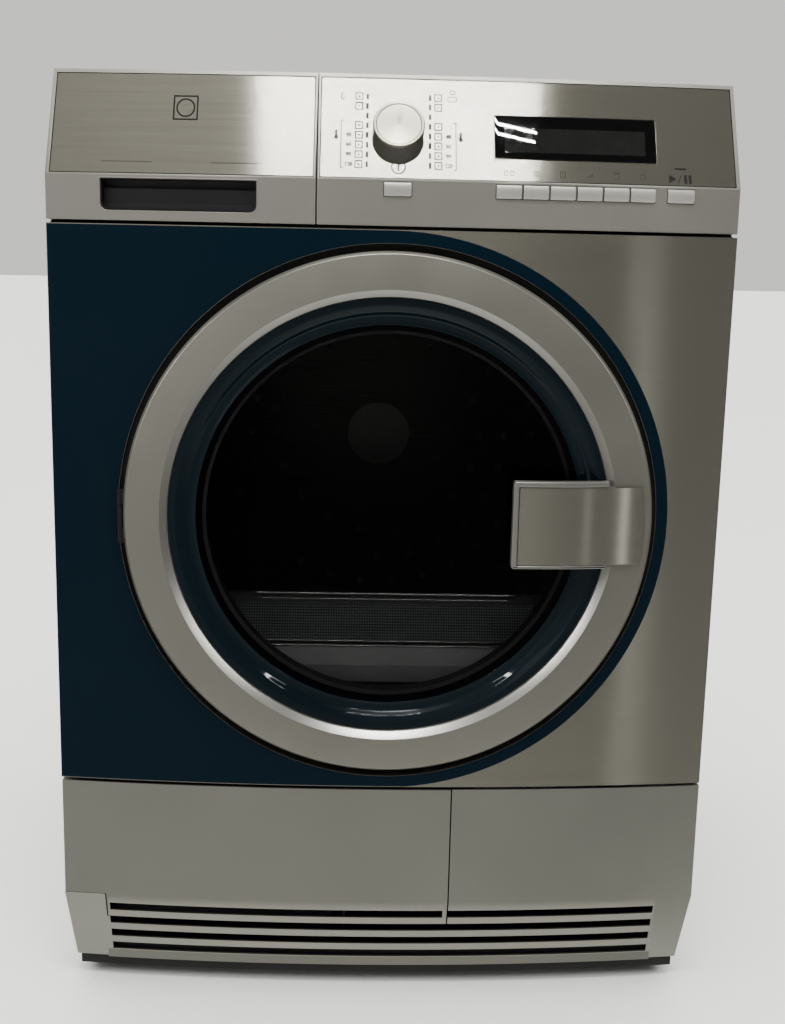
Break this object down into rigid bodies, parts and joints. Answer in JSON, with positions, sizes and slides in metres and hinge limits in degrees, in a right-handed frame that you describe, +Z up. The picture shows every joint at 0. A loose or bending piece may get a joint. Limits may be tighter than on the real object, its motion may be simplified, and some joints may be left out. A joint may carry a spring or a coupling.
{
  "type": "tumble dryer",
  "caption": "Free-standing front-loading condenser tumble dryer with a round glazed door, bowed steel front, leaning control panel, water drawer, plinth flap and louvred plinth.",
  "frame": {"origin": "on the floor, under the centre of the bounding box", "axes": "+Z up, +Y from the front to the back, +X to the right as seen from the front"},
  "size_m": [0.596, 0.628, 0.85],
  "materials": {
    "worktop_laminate": "satin",
    "side_paint": "satin",
    "galvanised_steel": "satin",
    "dark_plastic": "matte",
    "foot_rubber": "matte",
    "brushed_steel": "brushed",
    "plinth_steel": "satin",
    "navy_film": "satin",
    "bulkhead_plastic": "matte",
    "silver_plastic": "satin",
    "display_glass": "gloss",
    "board_laminate": "matte",
    "knob_plastic": "satin",
    "spun_aluminium": "spun",
    "tank_plastic": "matte",
    "light_plastic": "matte",
    "door_silver": "satin",
    "navy_gloss": "gloss",
    "door_glass": "clear",
    "hinge_steel": "satin",
    "blackened_steel": "satin",
    "handle_silver": "satin",
    "seal_rubber": "matte",
    "filter_plastic": "satin",
    "drum_steel": "satin",
    "lifter_plastic": "satin",
    "bearing_bronze": "satin",
    "motor_steel": "satin",
    "belt_rubber": "matte",
    "condenser_aluminium": "satin",
    "roller_plastic": "matte",
    "button_silver": "satin"
  },
  "bodies": {
    "cabinet": {"base_tray": "dark_plastic", "condensate_pump": "dark_plastic", "condenser": "condenser_aluminium", "control_board": "board_laminate", "control_fascia": "brushed_steel", "control_housing": "silver_plastic", "display_window": "display_glass", "door_hinge_bracket": "blackened_steel", "door_lock": "dark_plastic", "door_seal": "seal_rubber", "drawer_housing": "light_plastic", "drive_belt": "belt_rubber", "drum_bearing": "bearing_bronze", "fan_housing": "dark_plastic", "front_bulkhead": "bulkhead_plastic", "front_panel": "brushed_steel", "front_panel_film": "navy_film", "heater": "hinge_steel", "left_side_panel": "side_paint", "lint_filter": "filter_plastic", "mains_inlet": "dark_plastic", "motor": "motor_steel", "plinth_grille": "plinth_steel", "rear_duct_cover": "galvanised_steel", "rear_panel": "galvanised_steel", "right_side_panel": "side_paint", "worktop": "worktop_laminate"},
    "door": {"door_ring": "door_silver", "door_inner_ring": "navy_gloss", "door_glass": "door_glass", "door_back_frame": "dark_plastic", "door_hinge_leaf": "blackened_steel", "handle_plate": "brushed_steel", "handle_frame": "handle_silver", "latch_hook": "hinge_steel"},
    "programme_dial": {"programme_knob": "knob_plastic", "knob_cap": "spun_aluminium"},
    "drawer": {"drawer_front": "silver_plastic", "drawer_fascia": "brushed_steel", "water_tank": "tank_plastic"},
    "flap": {"plinth_flap": "plinth_steel"},
    "drum": {"drum_shell": "drum_steel", "drum_lifters": "lifter_plastic", "drum_shaft": "hinge_steel"},
    "rotor": {"motor_rotor": "hinge_steel", "fan_wheel": "light_plastic"},
    "roller_left": {"support_roller_left": "roller_plastic"},
    "roller_right": {"support_roller_right": "roller_plastic"},
    "foot_fl": {"foot_front_left": "foot_rubber"},
    "foot_fr": {"foot_front_right": "foot_rubber"},
    "foot_rl": {"foot_rear_left": "foot_rubber"},
    "foot_rr": {"foot_rear_right": "foot_rubber"},
    "power_key": {"power_button": "button_silver"},
    "start_key": {"start_button": "button_silver"},
    "option_key_1": {"option_button_1": "button_silver"},
    "option_key_2": {"option_button_2": "button_silver"},
    "option_key_3": {"option_button_3": "button_silver"},
    "option_key_4": {"option_button_4": "button_silver"},
    "option_key_5": {"option_button_5": "button_silver"},
    "option_key_6": {"option_button_6": "button_silver"}
  },
  "joints": [
    {"name": "door_hinge", "type": "hinge", "parent": "cabinet", "child": "door", "pos_m": [-0.2366, -0.2925, 0.4665], "axis": [0, 0, -1], "range_deg": [0, 150]},
    {"name": "programme_dial_turn", "type": "hinge", "parent": "cabinet", "child": "programme_dial", "pos_m": [0.0013, -0.27568, 0.7913], "axis": [0, -0.8952, 0.4456], "continuous": true},
    {"name": "drawer_slide", "type": "slide", "parent": "cabinet", "child": "drawer", "axis": [0, -1, 0], "range_m": [0, 0.36]},
    {"name": "flap_hinge", "type": "hinge", "parent": "cabinet", "child": "flap", "pos_m": [-0.2915, -0.269, 0.15], "axis": [0, 0, -1], "range_deg": [0, 95]},
    {"name": "drum_spin", "type": "hinge", "parent": "cabinet", "child": "drum", "pos_m": [0, 0.024, 0.47], "axis": [0, 1, 0], "continuous": true},
    {"name": "rotor_spin", "type": "hinge", "parent": "cabinet", "child": "rotor", "pos_m": [0.165, 0.024, 0.128], "axis": [0, 1, 0], "continuous": true},
    {"name": "roller_left_spin", "type": "hinge", "parent": "cabinet", "child": "roller_left", "pos_m": [-0.17574, -0.196, 0.21901], "axis": [0, 1, 0], "continuous": true},
    {"name": "roller_right_spin", "type": "hinge", "parent": "cabinet", "child": "roller_right", "pos_m": [0.17574, -0.196, 0.21901], "axis": [0, 1, 0], "continuous": true},
    {"name": "foot_fl_screw", "type": "hinge", "parent": "cabinet", "child": "foot_fl", "pos_m": [-0.255, -0.201, 0.02], "axis": [0, 0, 1], "continuous": true},
    {"name": "foot_fr_screw", "type": "hinge", "parent": "cabinet", "child": "foot_fr", "pos_m": [0.255, -0.201, 0.02], "axis": [0, 0, 1], "continuous": true},
    {"name": "foot_rl_screw", "type": "hinge", "parent": "cabinet", "child": "foot_rl", "pos_m": [-0.255, 0.244, 0.02], "axis": [0, 0, 1], "continuous": true},
    {"name": "foot_rr_screw", "type": "hinge", "parent": "cabinet", "child": "foot_rr", "pos_m": [0.255, 0.244, 0.02], "axis": [0, 0, 1], "continuous": true},
    {"name": "power_key_press", "type": "slide", "parent": "cabinet", "child": "power_key", "axis": [0, 1, 0], "range_m": [0, 0.0015], "stiffness_N_per_m": 800, "springref_m": -0.0005},
    {"name": "option_key_1_press", "type": "slide", "parent": "cabinet", "child": "option_key_1", "axis": [0, 1, 0], "range_m": [0, 0.0015], "stiffness_N_per_m": 800, "springref_m": -0.0005},
    {"name": "option_key_2_press", "type": "slide", "parent": "cabinet", "child": "option_key_2", "axis": [0, 1, 0], "range_m": [0, 0.0015], "stiffness_N_per_m": 800, "springref_m": -0.0005},
    {"name": "option_key_3_press", "type": "slide", "parent": "cabinet", "child": "option_key_3", "axis": [0, 1, 0], "range_m": [0, 0.0015], "stiffness_N_per_m": 800, "springref_m": -0.0005},
    {"name": "option_key_4_press", "type": "slide", "parent": "cabinet", "child": "option_key_4", "axis": [0, 1, 0], "range_m": [0, 0.0015], "stiffness_N_per_m": 800, "springref_m": -0.0005},
    {"name": "option_key_5_press", "type": "slide", "parent": "cabinet", "child": "option_key_5", "axis": [0, 1, 0], "range_m": [0, 0.0015], "stiffness_N_per_m": 800, "springref_m": -0.0005},
    {"name": "option_key_6_press", "type": "slide", "parent": "cabinet", "child": "option_key_6", "axis": [0, 1, 0], "range_m": [0, 0.0015], "stiffness_N_per_m": 800, "springref_m": -0.0005},
    {"name": "start_key_press", "type": "slide", "parent": "cabinet", "child": "start_key", "axis": [0, 1, 0], "range_m": [0, 0.0015], "stiffness_N_per_m": 800, "springref_m": -0.0005}
  ],
  "couplings": [
    {"joint": "rotor_spin", "follows": "drum_spin", "ratio": 42.462},
    {"joint": "roller_left_spin", "follows": "drum_spin", "ratio": -9.2},
    {"joint": "roller_right_spin", "follows": "drum_spin", "ratio": -9.2}
  ]
}
